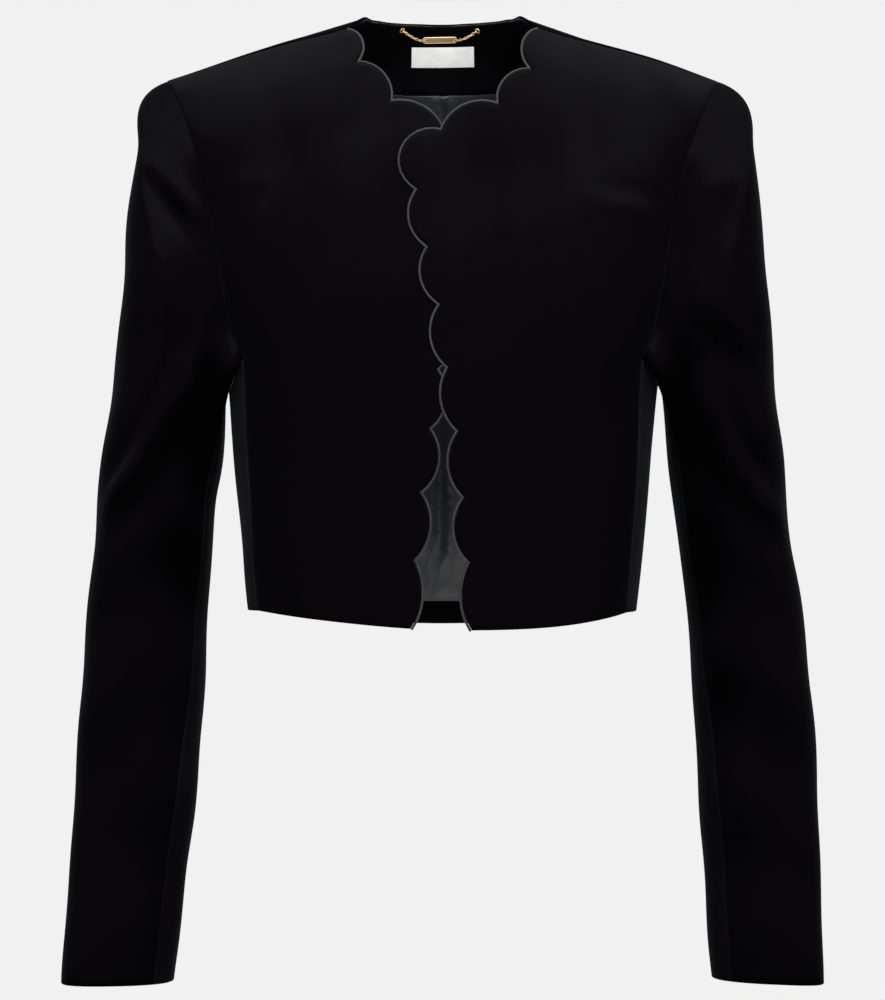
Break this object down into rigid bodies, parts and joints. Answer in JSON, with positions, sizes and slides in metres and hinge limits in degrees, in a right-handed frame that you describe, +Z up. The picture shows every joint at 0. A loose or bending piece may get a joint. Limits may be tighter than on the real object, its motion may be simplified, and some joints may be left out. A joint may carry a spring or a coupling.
{
  "type": "spencer jacket",
  "caption": "Cropped velvet jacket with padded shoulders, long two-piece sleeves and piped scalloped front edges, standing hollow as if worn.",
  "frame": {"origin": "middle of the neck opening, level with the points where the neck meets the shoulders", "axes": "+Z up, -Y the jacket's front, +X the wearer's left"},
  "size_m": [0.5412, 0.2268, 0.6922],
  "materials": {
    "velvet": "black velvet pile",
    "piping_satin": "dark grey satin",
    "lining_satin": "charcoal satin",
    "label_satin": "white woven satin, left blank",
    "gold": "polished gold-coloured metal"
  },
  "bodies": {
    "root": {"front_left": "velvet", "front_right": "velvet", "side_left": "velvet", "side_right": "velvet", "back_left": "velvet", "back_right": "velvet", "sleeve_left_top": "velvet", "sleeve_left_under": "velvet", "sleeve_right_top": "velvet", "sleeve_right_under": "velvet", "piping_left": "piping_satin", "piping_right": "piping_satin", "back_neck_facing": "velvet", "back_lining": "lining_satin", "back_hem_facing": "velvet", "label": "label_satin", "hanger_ring_left": "gold", "hanger_ring_right": "gold", "hanger_chain_left": "gold", "hanger_chain_right": "gold", "hanger_bar": "gold"}
  },
  "joints": []
}
